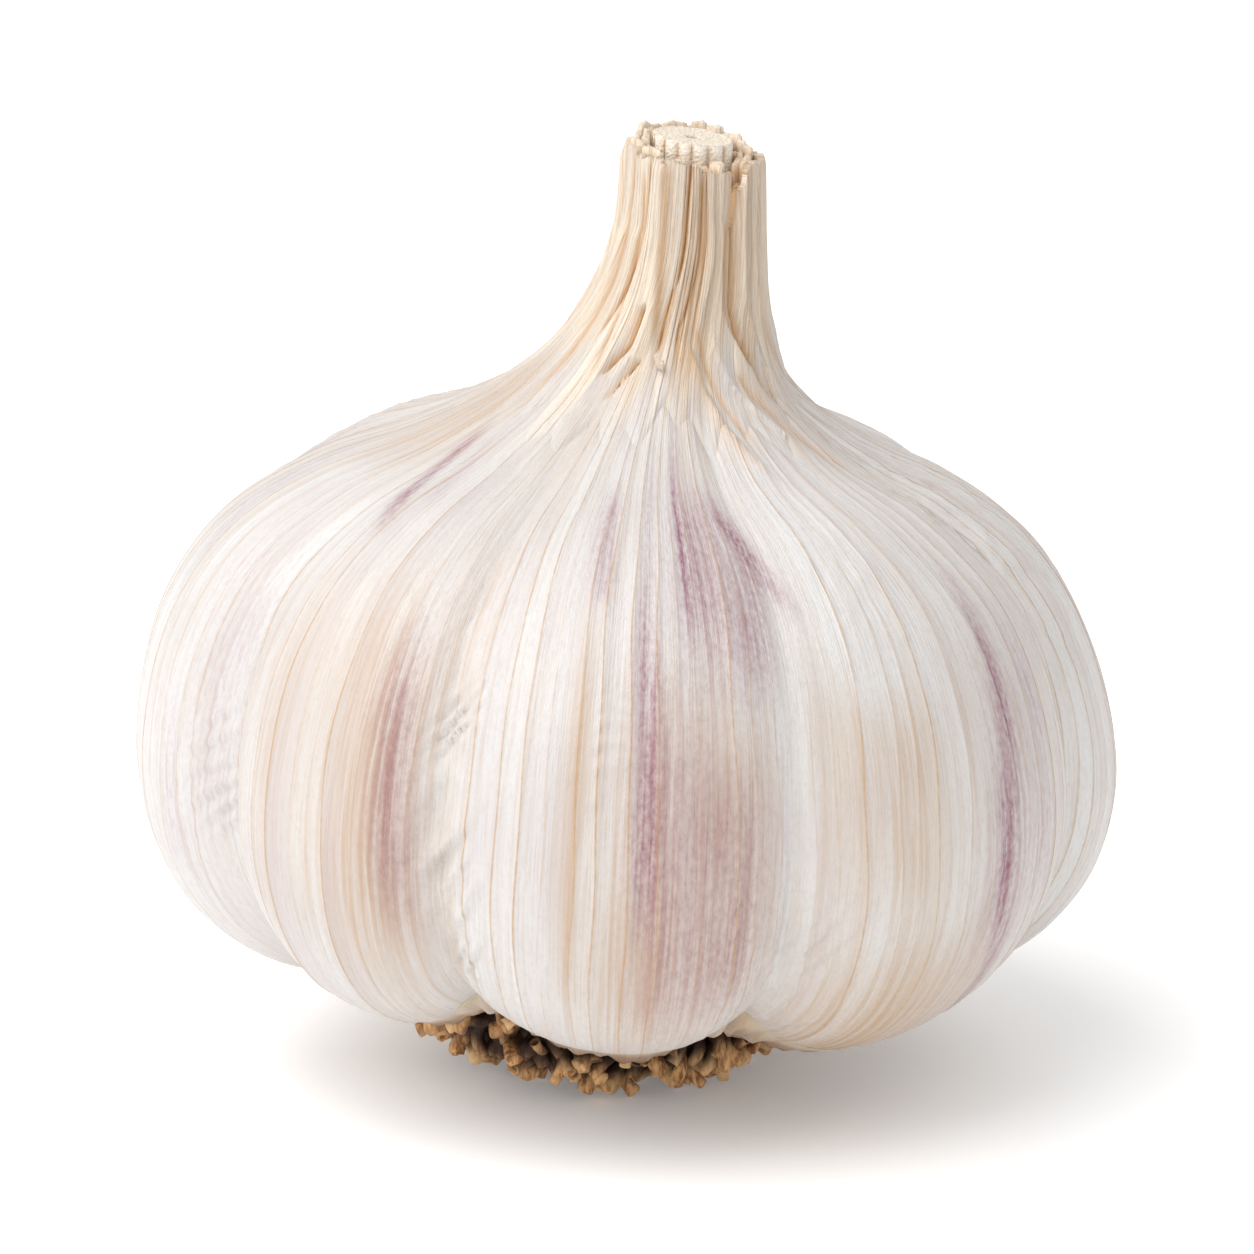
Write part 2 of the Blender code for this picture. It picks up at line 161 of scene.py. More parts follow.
SHEATH_HEM, SHEATH_TOP = 43.6 * MM, 60.15 * MM
SHEATH_ROWS, SHEATH_ROWS_INSIDE = 72, 18
SHEATH_THICKNESS, HEM_THICKNESS = 0.4 * MM, 0.15 * MM
HEM_SWAY = 1.6 * MM
CUT_TO_LEFT, CUT_TO_BACK = 0.42 * MM, 0.2 * MM  # how much higher the neck is cut on those sides
NOTCH_AZIMUTH, NOTCH_WIDTH, NOTCH_DEPTH = math.radians(44), math.radians(6.5), 1.3 * MM
# Folds and torn gaps of the dry sheaths: places from the top down as azimuth (deg) and height (mm), then
# the half width and the height over the surface (mm), how amber it is inside, which is painted warm shade
# with some of the leaf's own tan, and its steep side, which is 1 towards larger azimuths, -1 away from them
# and 0 for none.
FOLDS = (
    (((-22, 51.4), (-22.5, 48.8), (-28, 47.6), (-33, 46.5)), 0.40, -0.55, 1.0, 1),
    (((-17, 51.5), (-17, 48.9), (-21, 47.7), (-26, 46.6)), 0.45, 0.25, 0.0, -1),
    (((-12.5, 48.2), (-18, 46.9), (-23.5, 45.6)), 0.35, -0.30, 0.7, 1),
    (((-25, 61), (-23, 54.5), (-14.5, 50.6), (-6.5, 47.4)), 1.10, 0.55, 0.0, 1),
    (((-23, 61), (-21, 54.5), (-12.5, 50.6), (-4.5, 47.4)), 0.30, -0.25, 0.6, 0),
    (((-1.5, 61), (-3, 56), (-4, 53), (-6, 51.5)), 0.14, -0.50, 1.0, 0),
    (((-5.5, 52.5), (-7, 50.5), (-4, 48.2)), 0.16, -0.25, 0.8, 0),
    (((9, 60), (10, 54), (4, 50), (8, 46.5)), 0.14, -0.20, 0.7, 0),
    (((17, 61), (19, 54), (16, 50), (22, 47.5)), 0.50, 0.22, 0.0, 1),
    (((27, 57), (27, 54), (30, 51.3), (36, 49.9), (51, 47.5), (57, 45)), 0.90, 0.32, 0.0, 1),
    (((30, 57), (30, 54), (33, 51.3), (39, 49.9), (54, 47.5), (60, 45)), 0.25, -0.20, 0.6, 0),
    (((45, 61), (40, 56.3), (42, 51.2), (51, 48.2), (60, 46), (68, 43.4)), 0.35, -0.60, 0.9, 0),
    (((52, 60.5), (48, 56), (50, 52), (61, 48), (71, 45)), 0.70, 0.30, 0.0, -1),
    (((74, 60.5), (65, 54.4), (74, 49.6), (76, 43.7)), 0.50, 0.25, 0.0, 1),
    (((82, 60), (76, 54), (84, 49), (88, 44)), 0.25, -0.30, 0.6, 0),
    (((9, 49.4), (19, 47.3), (27, 45.1), (33, 43.0), (39, 41.2)), 0.75, 0.30, 0.35, 1),
    (((13, 50.5), (24, 47.6), (33, 45.0), (40, 42.6)), 0.25, -0.16, 0.6, 0),
    (((22, 50.4), (34, 46.8), (45, 44.8), (52, 43), (58, 41.4)), 0.55, 0.28, 0.0, -1),
    (((40, 47.6), (52, 44.8), (60, 42.6), (66, 41)), 0.5, -0.18, 0.45, 0),
    (((-62, 58), (-60, 52), (-56, 47), (-52, 43.6)), 0.60, 0.2, 0.0, 1),
    (((-44, 60), (-42, 53), (-37, 48), (-34, 44.5)), 0.16, -0.22, 0.7, 0),
)
SIDE_FOLDS = 22  # as many more round the sides and the back, from 95 to 325 degrees
STEEP = 0.25  # how wide a fold's steep side is against its other side, or against a whole crumple

# Curled tips of torn sheath: azimuth (deg) and height (mm) of the foot, width, length and rise (mm), and
# turn (deg).
TIPS = (
    (-5.6, 48.9, 0.7, 2.2, 0.3, 14), (122, 48.0, 0.9, 1.4, 0.3, 10), (212, 47.4, 0.8, 1.3, 0.3, 8),
)

INNER_FOOT, INNER_THICKNESS = 56 * MM, 0.42 * MM
INNER_RINGS = ((3.05, 22, 60.45), (3.6, 27, 60.6))  # radius (mm), number of strips and height of the top (mm)
# A strip's outline across and outwards, in halves of its width and thickness.
STRIP_OUTLINE = np.array([
    (-1, 0.8), (-0.4, 1), (0.3, 1.1), (1, 0.9), (1, -0.8), (0.4, -1), (-0.3, -1.1), (-1, -0.9),
])

STALK_RADIUS, STALK_FOOT, STALK_TOP = 2.55 * MM, 50 * MM, 61.0 * MM
STALK_COLUMNS, STALK_FLUTES, FLUTE_DEPTH = 156, 13, 0.2 * MM
STALK_SLOPE = math.tan(math.radians(5.5))  # of its cut
PITH_DEPTH = 0.35 * MM

# ---- the foot

# Lines turned round the axis, as (radius, height): the bowl that the roots are trimmed to, and their plate.
ROOT_BOWL = np.array([
    (0, 0), (7.0, 0.0), (9.4, 0.6), (11.4, 1.8), (12.9, 3.3), (13.7, 4.8), (12.5, 6.8),
]) * MM
ROOT_PLATE = (
    (3.0, 2.8), (6.0, 2.9), (8.0, 3.5), (9.4, 4.5), (10.2, 5.4), (10.6, 6.4), (9.8, 7.4), (8.2, 8.4),
)
# Rings of roots: radius and height of the tips (mm), number of roots, and lean (deg).
ROOT_RINGS = (
    (1.4, -0.2, 5, 0), (3.2, -0.2, 11, 3), (5.0, -0.2, 17, 5), (6.7, -0.1, 24, 8), (8.2, 0.1, 32, 14),
    (9.4, 0.5, 38, 20), (10.4, 1.1, 42, 28), (11.3, 1.9, 44, 36), (12.1, 2.8, 46, 45),
    (12.8, 3.7, 46, 55), (13.3, 4.7, 42, 68),
)
# The last rings of points of a root: how many radii back from its end each is, and its size against the root.
HOLLOW_END = ((0.0, 0.86), (0.12, 0.66), (1.2, 0.5), (1.4, 0.2))
BLUNT_END = ((-0.16, 0.86), (-0.28, 0.5))
ROOT_SIDES, ROOT_STEPS, PLATE_COLUMNS = 12, 11, 96
RIM_SHARE, RIM_LENGTH = 0.150, 0.034  # where the rim of torn skin starts, and its reach, as shares
RIM_THICKNESS = 0.12  # mm
RIM_COLUMNS, RIM_ROWS = 480, 14

# ---- the light

KEY_AZIMUTH, KEY_ELEVATION = math.radians(-61), math.radians(54)
KEY_DISTANCE, KEY_SIZE, KEY_POWER = 0.9, 1.1, 9.4
SKY_LIGHT, FLOOR_GLOW = 0.78, 0.15
FLOOR_SIZE = 6


# ---- curves, and places on the bulb

def smoothstep(x):
    x = np.clip(x, 0.0, 1.0)
    return x * x * (3 - 2 * x)


def fade(x):
    return 1 - smoothstep(x)


def catmull_rom(points, per_span):
    """Points along the smooth curve through the given ones."""
    ends = np.vstack([2 * points[0] - points[1], points, 2 * points[-1] - points[-2]])
    t = np.linspace(0, 1, per_span, endpoint=False)[:, None]
    spans = [
        0.5 * (2 * b + (c - a) * t + (2 * a - 5 * b + 4 * c - d) * t**2 + (3 * b - a - 3 * c + d) * t**3)
        for a, b, c, d in zip(ends, ends[1:], ends[2:], ends[3:])
    ]
    return np.vstack([*spans, points[-1:]])


CURVE = catmull_rom(MERIDIAN, 12)
CURVE_LENGTHS = np.insert(np.cumsum(np.linalg.norm(np.diff(CURVE, axis=0), axis=1)), 0, 0.0)
MERIDIAN_LENGTH = CURVE_LENGTHS[-1]
CURVE_SHARES = CURVE_LENGTHS / MERIDIAN_LENGTH
SLOPE = np.gradient(CURVE, CURVE_SHARES, axis=0)


def share_at(height):
    """The share of the meridian at a height on the neck, where the height only rises."""
    neck = CURVE_SHARES > 0.5
    return np.interp(height, CURVE[neck, 1], CURVE_SHARES[neck])


def meridian(share):
    """The radius and the height of the meridian at a share."""
    return np.interp(share, CURVE_SHARES, CURVE[:, 0]), np.interp(share, CURVE_SHARES, CURVE[:, 1])


def all_round(count):
    """Evenly spaced azimuths."""
    return np.arange(count) * math.tau / count


def clove_shape(azimuth):
    """For each azimuth in radians: 0 over a clove's middle to 1 in a crease, then the clove's size, the
    lift of its foot and the rise of its shoulder, which meet its neighbour's half way at the crease."""
    degrees = np.degrees(azimuth) % 360
    crease = np.zeros_like(degrees)
    shape = np.zeros((*degrees.shape, 3))
    for i, (middle, after, *own) in enumerate(CLOVES):
        before = CLOVES[i - 1][1]
        turn = (degrees - middle + 180) % 360 - 180
        half = np.where(turn < 0, (middle - before) % 360, (after - middle) % 360)
        inside = np.abs(turn) <= half
        crease = np.where(inside, np.abs(turn) / half, crease)
        other = np.where(turn[..., None] < 0, CLOVES[i - 1][2:], CLOVES[(i + 1) % len(CLOVES)][2:])
        meet = 0.5 * smoothstep(np.abs(turn) / half)[..., None]
        shape = np.where(inside[..., None], own + (other - own) * meet, shape)
    return crease, shape[..., 0], shape[..., 1] * MM, shape[..., 2] * MM


def crease_depth(share):
    deeper = CREASE_DEPTH - CREASE_DEPTH_AT_ROOTS
    rising = CREASE_DEPTH_AT_ROOTS + deeper * smoothstep(share / CREASE_DEEPEST)
    falling = fade((share - CREASE_DEEPEST) / (CREASE_ENDS - CREASE_DEEPEST))
    return np.minimum(rising, CREASE_DEPTH * falling)


def round_the_axis(azimuth, radius, height):
    azimuth, radius, height = np.broadcast_arrays(azimuth, radius, height)
    return np.stack([radius * np.sin(azimuth), -radius * np.cos(azimuth), height], axis=-1)


def skin(azimuth, share, out=0.0, creased=1.0):
    """Points of the papery skin, standing straight, moved outwards by out. Creases are creased times as
    deep as in the solids."""
    azimuth, share, out = np.broadcast_arrays(azimuth, share, out)
    radius, height = meridian(share)
    along = np.stack([np.interp(share, CURVE_SHARES, SLOPE[:, i]) for i in (0, 1)])
    along /= np.linalg.norm(along, axis=0)
    crease, size, lift, shoulder = clove_shape(azimuth)
    radius = radius * (1 + (size - 1) * fade((share - 0.5) / 0.25))
    height = height + lift * fade(share / FOOT_ENDS)
    out = out - creased * crease_depth(share) * crease**CREASE_POWER
    out = out + shoulder * np.exp(-(((share - SHOULDER) / SHOULDER_WIDTH) ** 2))
    return round_the_axis(azimuth, radius + along[1] * out, height - along[0] * out)


def settle(points):
    """Bends the neck and tilts the straight bulb to where it stands."""
    x, y, z = np.moveaxis(np.asarray(points, float), -1, 0)
    bent = x + NECK_BEND * smoothstep((z - BEND_FROM) / (BEND_TO - BEND_FROM))
    return np.stack(
        [bent * math.cos(TILT) + z * math.sin(TILT), y, z * math.cos(TILT) - bent * math.sin(TILT)], axis=-1
    )


def turn_between(azimuth, middle):
    """The turn from the middle azimuth, from -pi to pi."""
    return (azimuth - middle + math.pi) % math.tau - math.pi


def wavy(places, scale):
    """Smooth noise from about -1 to 1 at places, an array of points in metres. scale is in waves a mm."""
    flat = (np.asarray(places) * scale / MM).reshape(-1, 3)
    return np.array([noise.noise(place) for place in flat.tolist()]).reshape(np.shape(places)[:-1])


def unrolled(azimuth, share):
    """Places that are as far apart as on the belly, with no seam: noise read there runs evenly."""
    return round_the_axis(azimuth, BELLY, share * MERIDIAN_LENGTH)


def away_from_key(azimuth):
    """From 0 on the side that faces the key light, left of the front, to 1 opposite. The tan that grows with
    it is painted shade on the side away from the light, and on the neck also partly the sheath's own browner
    tan.
    """
    return 0.5 - 0.5 * np.cos(azimuth + math.radians(65))


# ---- meshes

def in_scene(name, data):
    made = bpy.data.objects.new(name, data)
    bpy.context.scene.collection.objects.link(made)
    return made


def piece(name, points, faces, marks, material, node):
    """A smooth mesh object from settled points, riding with the bulb. marks are attributes of its points."""
    mesh = bpy.data.meshes.new(name)
    mesh.from_pydata(points.reshape(-1, 3).tolist(), [], faces)
    for mark, values in marks.items():
        values = np.asarray(values, np.float32)
        is_vector = values.size == 3 * len(mesh.vertices)
        kind, field = ("FLOAT_VECTOR", "vector") if is_vector else ("FLOAT", "value")
        mesh.attributes.new(mark, kind, "POINT").data.foreach_set(field, values.ravel())
    mesh.materials.append(material)
    mesh.shade_smooth()
    made = in_scene(name, mesh)
    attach(made, "root")
    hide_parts(node)
    return made


def grid_faces(rows, columns, closed=False):
    """Quads between rings of points, one above the other. Where closed, the last ring meets the first."""
    row = np.arange(rows if closed else rows - 1)[:, None]
    column = np.arange(columns)[None, :]
    beside = (column + 1) % columns
    low, high = row * columns, (row + 1) % rows * columns
    corners = [low + column, low + beside, high + beside, high + column]
    return np.stack(np.broadcast_arrays(*corners), axis=-1).reshape(-1, 4).tolist()


def cap_faces(ring, middle, outwards_up):
    """A fan from a ring of points to the point in its middle."""
    beside = ring[1:] + ring[:1]
    return [[middle, a, b] if outwards_up else [middle, b, a] for a, b in zip(ring, beside)]


def capped_grid(rings):
    """Points and faces of stacked rings with a fan at both ends."""
    rows, columns = rings.shape[:2]
    points = np.vstack([rings.reshape(-1, 3), rings[0].mean(axis=0), rings[-1].mean(axis=0)])
    low, high = list(range(columns)), list(range((rows - 1) * columns, rows * columns))
    faces = grid_faces(rows, columns)
    faces += cap_faces(low, rows * columns, False) + cap_faces(high, rows * columns + 1, True)
    return points, faces


def with_cap_marks(marks):
    """Marks of a grid, with values for the two points in the middle of its caps."""
    return {
        name: np.concatenate([*values, values[0, :1], values[-1, :1]]) for name, values in marks.items()
    }


# ---- materials

def srgb(red, green, blue, light=STUDIO_LIGHT):
    """The linear base colour of what shows as these display values of 0 to 255 in the light on it."""
    shown = np.array([red, green, blue]) / 255
    linear = np.where(shown <= 0.04045, shown / 12.92, ((shown + 0.055) / 1.055) ** 2.4)
    return (*(linear / light).tolist(), 1.0)


class Nodes:
    """Builds one material's nodes. An input is a value, or the output of another node."""

    def __init__(self, name):
        self.material = bpy.data.materials.new(name)
        self.material.use_nodes = True
        self.tree = self.material.node_tree
        self.shader = self.tree.nodes["Principled BSDF"]

    def add(self, kind, inputs, output=0, **settings):
        made = self.tree.nodes.new(kind)
        for key, value in settings.items():
            setattr(made, key, value)
        for key, value in inputs.items():
            self.put(made.inputs[key], value)
        return made.outputs[output]

    def put(self, socket, value):
        if isinstance(value, bpy.types.NodeSocket):
            self.tree.links.new(value, socket)
        else:
            socket.default_value = value

    def mark(self, name, output="Fac"):
        return self.add("ShaderNodeAttribute", {}, output, attribute_name=name)

    def times(self, a, b):
        return self.add("ShaderNodeMath", {0: a, 1: b}, operation="MULTIPLY")

    def plus(self, a, b):
        return self.add("ShaderNodeMath", {0: a, 1: b}, operation="ADD")

    def spread(self, value, low, high, to_low=0.0, to_high=1.0):
        inputs = {"Value": value, "From Min": low, "From Max": high, "To Min": to_low, "To Max": to_high}
        return self.add("ShaderNodeMapRange", inputs, clamp=True)

    def mix(self, amount, a, b):
        return self.add("ShaderNodeMix", {0: amount, 6: a, 7: b}, 2, data_type="RGBA")

    def noise(self, where, scale, detail, roughness, **settings):
        inputs = {"Vector": where, "Scale": scale, "Detail": detail, "Roughness": roughness}
        return self.add("ShaderNodeTexNoise", inputs, **settings)

    def stretched(self, where, scale):
        return self.add("ShaderNodeMapping", {"Vector": where, "Scale": scale})

    def bump(self, height, distance, strength, normal=None):
        inputs = {"Height": height, "Distance": distance, "Strength": strength}
        if normal is not None:
            inputs["Normal"] = normal
        return self.add("ShaderNodeBump", inputs)

    def finish(self, **inputs):
        for key, value in inputs.items():
            self.put(self.shader.inputs[key.replace("_", " ")], value)
        return self.material


def papery_material(name, pale, warm, roughness, straw_light=1.0):
    """Dry garlic leaf: pale paper with fine fibres, tinted bands, tan veins and purple streaks. The mark
    grain is a place on the unrolled skin in mm, and straw_light is the light on straw-coloured leaf."""
    n = Nodes(name)
    grain = n.mark("grain", "Vector")
    threads = n.noise(n.stretched(grain, (6.5, 6.5, 0.2)), 1.0, 2.0, 0.6)
    fibres = n.noise(n.stretched(grain, (2.4, 2.4, 0.06)), 1.0, 3.0, 0.6)
    bands = n.noise(n.stretched(grain, (0.6, 0.6, 0.03)), 1.0, 3.0, 0.55)
    clouds = n.noise(n.stretched(grain, (0.2, 0.2, 0.1)), 1.0, 3.0, 0.5)
    paper = n.noise(n.stretched(grain, (3.0, 3.0, 1.6)), 1.0, 4.0, 0.65)

    colour = pale
    for pattern, low, high, strength, tint in (
        (bands, 0.45, 0.7, 0.6, warm),
        (clouds, 0.45, 0.68, 0.35, srgb(222, 212, 212)),
        (fibres, 0.5, 0.72, 0.45, srgb(222, 205, 188)),
        (threads, 0.5, 0.75, 0.45, srgb(220, 204, 190)),
        (paper, 0.48, 0.72, 0.4, srgb(216, 206, 200)),
    ):
        colour = n.mix(n.spread(pattern, low, high, 0.0, strength), colour, tint)
    pale_straw, deep_straw = srgb(246, 236, 222, straw_light), srgb(236, 218, 194, straw_light)
    straw = n.mix(n.spread(fibres, 0.4, 0.66), pale_straw, deep_straw)
    straw = n.mix(n.spread(threads, 0.5, 0.68, 0.0, 0.5), straw, srgb(214, 176, 134, straw_light))
    colour = n.mix(n.mark("straw"), colour, straw)
    tan = n.times(n.mark("tan"), n.spread(fibres, 0.36, 0.62, 0.55, 1.1))
    colour = n.mix(tan, colour, srgb(208, 172, 134))
    lilac = n.times(n.mark("lilac"), n.spread(bands, 0.35, 0.65, 0.2, 0.6))
    colour = n.mix(lilac, colour, srgb(206, 190, 194))
    blotches = n.plus(n.times(paper, 0.5), n.times(fibres, 0.6))
    purple = n.times(n.mark("purple"), n.spread(blotches, 0.42, 0.68, 0.3, 1.05))
    colour = n.mix(purple, colour, srgb(156, 96, 118))
    breaks = n.spread(n.plus(paper, n.times(clouds, 0.5)), 0.55, 0.85, 0.5, 1.0)
    vein = n.times(n.mark("vein"), breaks)
    colour = n.mix(vein, colour, srgb(212, 162, 100))
    # groove: amber in grooves, torn gaps and hollows, which is painted warm shade over the leaf's own tan.
    colour = n.mix(n.mark("groove"), colour, srgb(208, 156, 92, straw_light))
    colour = n.mix(n.mark("brown"), colour, srgb(136, 92, 52))

    height = n.plus(n.plus(n.times(fibres, 0.8), n.times(threads, 0.6)), n.times(paper, 0.6))
    height = n.times(height, n.spread(n.mark("straw"), 0.0, 1.0, 1.0, 2.4))
    fine = n.bump(height, 0.00009, 0.8)
    where = n.stretched(grain, (0.55, 0.55, 0.42))
    creases = n.noise(where, 1.0, 3.0, 0.45, noise_type="RIDGED_MULTIFRACTAL")
    crumpled = n.bump(n.times(creases, n.mark("crumple")), 0.0004, 0.9, fine)
    rough = n.spread(n.plus(fibres, paper), 0.8, 1.3, roughness - 0.08, roughness + 0.1)
    return n.finish(Base_Color=colour, Roughness=rough, Normal=crumpled)


def pith_material():
    """The stalk: pale grainy pith where it is cut, straw-coloured fibre down its sides."""
    n = Nodes("stalk_pith")
    where = n.add("ShaderNodeTexCoord", {}, "Object")
    grains = n.add("ShaderNodeTexVoronoi", {"Vector": where, "Scale": 5200.0}, 0)
    speckle = n.noise(where, 3000.0, 3.0, 0.6)
    cut = n.mix(n.spread(grains, 0.2, 0.7), srgb(247, 239, 227, 1.2), srgb(230, 213, 190, 1.2))
    cut = n.mix(n.mark("hollow"), cut, srgb(188, 150, 106))
    side = n.mix(n.spread(speckle, 0.35, 0.7), srgb(252, 246, 236, 1.1), srgb(243, 228, 206, 1.1))
    side = n.mix(n.mark("groove"), side, srgb(206, 160, 106))
    colour = n.mix(n.mark("cut"), side, cut)
    normal = n.bump(n.plus(grains, speckle), 0.00012, 0.7)
    return n.finish(Base_Color=colour, Roughness=0.75, Normal=normal)


def root_material():
    """Dry root: tan and wrinkled outside, and dark brown deep between the roots as painted shade in the gaps.
    """
    n = Nodes("dry_root")
    where = n.add("ShaderNodeTexCoord", {}, "Object")
    wrinkles = n.noise(n.stretched(where, (2600.0, 2600.0, 700.0)), 1.0, 3.0, 0.6)
    patches = n.noise(where, 500.0, 3.0, 0.55)
    pits = n.noise(where, 3200.0, 2.0, 0.6)
    colour = n.mix(n.spread(wrinkles, 0.4, 0.6), srgb(140, 84, 38, 1.1), srgb(236, 184, 122, 1.1))
    colour = n.mix(n.spread(patches, 0.48, 0.7, 0.0, 0.5), colour, srgb(140, 88, 46))
    colour = n.mix(n.spread(pits, 0.6, 0.75, 0.0, 0.5), colour, srgb(240, 200, 148))
    colour = n.mix(n.times(n.mark("pale"), 0.8), colour, srgb(246, 206, 152, 1.0))
    # deep: painted shade, dark brown in the gaps between the roots.
    colour = n.mix(n.mark("deep"), colour, srgb(64, 34, 14))
    height = n.plus(wrinkles, n.times(pits, 0.4))
    return n.finish(Base_Color=colour, Roughness=0.68, Normal=n.bump(height, 0.0002, 0.7))


# ---- pieces

def wander(azimuth, share):
    """The veins' slight drift from straight meridians, in radians."""
    drift = 0.7 * np.sin(9 * share + 2.0 * azimuth) + 0.5 * np.sin(17 * share + 5 * azimuth + 1.0)
    drift = drift + 0.25 * np.sin(41 * share + 11 * azimuth)
    return math.radians(0.55) * drift


def streaks(azimuth, share, listed):
    """How strongly the listed long streaks mark each place, each fading towards its ends."""
    total = 0 * (azimuth + share)
    for from_azimuth, from_share, to_azimuth, to_share, half_width, strength in listed:
        middle, half = (from_share + to_share) / 2, abs(from_share - to_share) / 2
        along = (share - middle) / half
        line = (from_azimuth + to_azimuth) / 2 + (from_azimuth - to_azimuth) / 2 * np.clip(along, -1.2, 1.2)
        across = np.degrees(turn_between(azimuth, np.radians(line))) / half_width
        total = total + strength * np.exp(-(across**2)) * fade(np.abs(along) - 0.45)
    return np.clip(total, 0, 1)


def patches(azimuth, share, listed):
    """How strongly the listed patches mark each place, with soft borders. Less than 0 takes away."""
    total = 0 * (azimuth + share)
    for middle, at, half_width, half_length, strength in listed:
        across = np.degrees(turn_between(azimuth, math.radians(middle))) / half_width
        along = (share - at) / half_length
        total = total + strength * np.exp(-(across**2)) * np.exp(-(along**4))
    return np.clip(total, -1, 1)


def more_folds():
    """Folds of the sheaths round the sides and the back, like the listed ones."""
    made = []
    for i in range(SIDE_FOLDS):
        azimuth = 95 + 230 * (i + draw.uniform(0.1, 0.9)) / SIDE_FOLDS
        top = draw.choice((61.0, 61.0, 56.0, 51.5))
        foot = draw.uniform(42, 47.5)
        heights = np.linspace(top, foot, 5)
        swing = np.cumsum(draw.uniform(-3, 3, 5)) + draw.uniform(-9, 9) * np.linspace(0, 1, 5) ** 2
        places = tuple(zip(azimuth + swing, heights))
        if i % 2:
            made.append((places, draw.uniform(0.14, 0.35), draw.uniform(-0.5, -0.2), 0.8, 0))
        else:
            made.append((places, draw.uniform(0.5, 1.1), draw.uniform(0.2, 0.45), 0.0, draw.choice((-1, 1))))
    return tuple(made)


def folding(azimuth, share, listed):
    """The relief of the listed folds of the sheaths, and how amber they are inside: painted warm shade in the
    gaps and under the folds, with some of the leaf's own tan.
    """
    relief, amber = np.zeros((2, *(azimuth + share).shape))
    radius, height = meridian(share)
    height = height + 0 * azimuth
    for places, half_width, rise, tint, steep in listed:
        azimuths, heights = np.array(places[::-1]).T
        line = np.radians(np.interp(height / MM, heights, azimuths))
        across = turn_between(azimuth, line) * radius / (half_width * MM)
        across = np.where(across * steep > 0, across / STEEP, across)
        along = (height / MM - heights[0]) / (heights[-1] - heights[0])
        inside = smoothstep(along / 0.25) * smoothstep((1 - along) / 0.12) * (share > UPPER)
        inside = inside * np.exp(-np.abs(across) ** 1.4)
        relief += rise * MM * inside
        amber += tint * inside**1.5
    return relief, np.clip(amber, 0, 1)


def crumpling(azimuth, share):
    """Height of the crumples, which are broken rows of sharp folds, and how crumpled each place is."""
    folds, amount = np.zeros((2, *(azimuth + share).shape))
    for middle, at, half_width, half_length, direction, spacing, height in CRUMPLES:
        turn = turn_between(azimuth, math.radians(middle))
        inside = np.exp(-((np.degrees(turn) / half_width) ** 2) - ((share - at) / half_length) ** 2)
        used = inside > 0.02
        lean = math.radians(direction)
        x, y = np.broadcast_arrays(turn * BELLY, share * MERIDIAN_LENGTH)
        along, across = x * math.cos(lean) + y * math.sin(lean), y * math.cos(lean) - x * math.sin(lean)
        place = np.stack([along / 3, across, np.full_like(along, middle * MM)], axis=-1)[used]
        ramp = (across[used] / (spacing * MM) + 1.6 * wavy(place, 0.26)) % 1
        fold = np.where(ramp < STEEP, ramp / STEEP, (1 - ramp) / (1 - STEEP)) - 0.5
        broken = np.clip(0.7 + 1.5 * wavy(place, 0.7 / spacing), 0, 1)
        folds[used] += height * MM * fold * broken * inside[used]
        amount[used] += height * inside[used]
    return folds, amount


class Veins:
    """The veins round the bulb, each with the band of skin up to the next one. Above the shoulder they
    crowd into the ribs of the neck."""

    def __init__(self):
        starts = [0.0]
        while starts[-1] < 360 - VEIN_SPACING[0]:
            starts.append(starts[-1] + draw.uniform(*VEIN_SPACING))
        self.azimuth = np.radians(np.array(starts[:-1]) * 360 / starts[-1])
        self.width = np.diff(self.azimuth, append=math.tau)
        count = len(self.azimuth)
        bold = draw.random(count) < 0.45
        self.strength = np.where(bold, draw.uniform(0.75, 1.1, count), draw.uniform(0.2, 0.55, count))
        self.sag = draw.uniform(0.0, 0.015, count)
        self.tint = draw.uniform(-0.25, 0.15, count)
        self.lilac = draw.uniform(-0.6, 0.4, count)
        self.rib = np.cumsum(draw.random(count) < 0.7)
        ribs = self.rib[-1] + 1
        self.worn = draw.uniform(-0.25, 0.3, ribs)[self.rib]
        self.straw_from = draw.uniform(44.2, 48.6, ribs)[self.rib]
        self.cut = draw.uniform(-0.3, 0.25, ribs)[self.rib]
        # On the neck a few bands together make a flat strip of leaf, which may overlap the next one.
        starts_strip = np.diff(self.rib, prepend=-1) * (draw.random(count) < 0.3) > 0
        starts_strip[0] = True
        self.strip = np.cumsum(starts_strip) - 1
        sizes = np.bincount(self.strip)
        self.place = (np.arange(count) - np.flatnonzero(starts_strip)[self.strip]) / sizes[self.strip]
        self.step = 1 / sizes[self.strip]
        self.rise = draw.uniform(-0.14, 0.16, (2, len(sizes)))
        shallow = np.diff(self.rib, prepend=-1) * draw.uniform(0.02, 0.07, count)
        self.groove = np.where(starts_strip, draw.uniform(0.06, 0.20, count), shallow)

    def columns(self, acrosses, in_crease=None):
        """Each column's azimuth, band and how far across the band it is; more of them where it crumples."""
        made = []
        creased = clove_shape(self.azimuth)[0] > 0.6
        for band, (azimuth, width) in enumerate(zip(self.azimuth, self.width)):
            edge = VEIN_HALF_WIDTH / width
            own = acrosses or np.linspace(edge, 1 - edge, in_crease if creased[band] else 3)
            made += [(azimuth + width * across, band, across) for across in (0.0, *own)]
        azimuth, band, across = np.array(made).T
        return azimuth, band.astype(int), across


